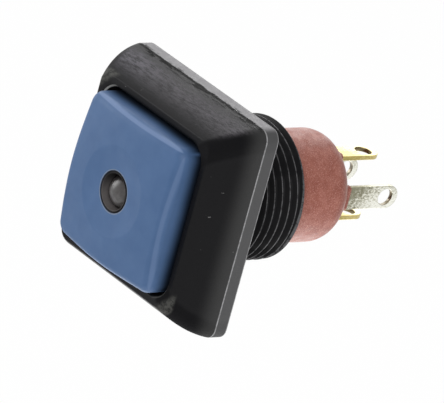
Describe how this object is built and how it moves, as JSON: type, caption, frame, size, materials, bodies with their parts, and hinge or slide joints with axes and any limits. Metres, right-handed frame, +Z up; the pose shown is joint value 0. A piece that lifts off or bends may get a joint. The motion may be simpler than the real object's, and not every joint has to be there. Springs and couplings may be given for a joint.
{
  "type": "illuminated pushbutton switch",
  "caption": "Panel-mounted pushbutton switch with a square bezel, a dished square cap with a lamp in its centre, a round threaded bushing and solder eyelets.",
  "frame": {"origin": "on the bushing's axis, in the plane where the flange seats on the panel", "axes": "+Y along the bushing, away from the operator; +Z up; +X right as seen by the operator"},
  "size_m": [0.0184, 0.0278, 0.0184],
  "materials": {
    "black_plastic": "black satin moulding",
    "blue_plastic": "muted blue, softly shining",
    "red_thermoset": "mottled brick red thermoset",
    "dark_resin": "dark sealing resin",
    "dark_plastic": "black moulding",
    "gold_plate": "gold plate",
    "silver_plate": "silver plate, satin",
    "steel": "bright steel",
    "rubber": "black rubber",
    "clear_resin": "clear cast resin",
    "lamp_chip": "semiconductor die"
  },
  "bodies": {
    "housing": {"bezel": "black_plastic", "base": "red_thermoset", "lamp_holder": "dark_plastic", "plunger_seal": "rubber", "seal_retainer": "steel", "base_gasket": "rubber", "terminal_resin": "dark_resin", "return_spring": "steel", "contact_terminal_top": "gold_plate", "contact_terminal_bottom": "gold_plate", "fixed_contact_top": "gold_plate", "fixed_contact_bottom": "gold_plate", "lamp_terminal_right": "silver_plate", "lamp_terminal_left": "silver_plate"},
    "button": {"button_cap": "blue_plastic", "plunger": "black_plastic", "contact_ring": "gold_plate", "inner_seal": "rubber", "lamp_lens": "clear_resin", "lamp_chip": "lamp_chip", "lamp_lead_left": "silver_plate", "lamp_lead_right": "silver_plate"}
  },
  "joints": [
    {"name": "button_press", "type": "slide", "parent": "housing", "child": "button", "axis": [0, 1, 0], "range_m": [0, 0.0015], "stiffness_N_per_m": 600, "springref_m": -0.0025, "deforming": ["return_spring"]}
  ]
}
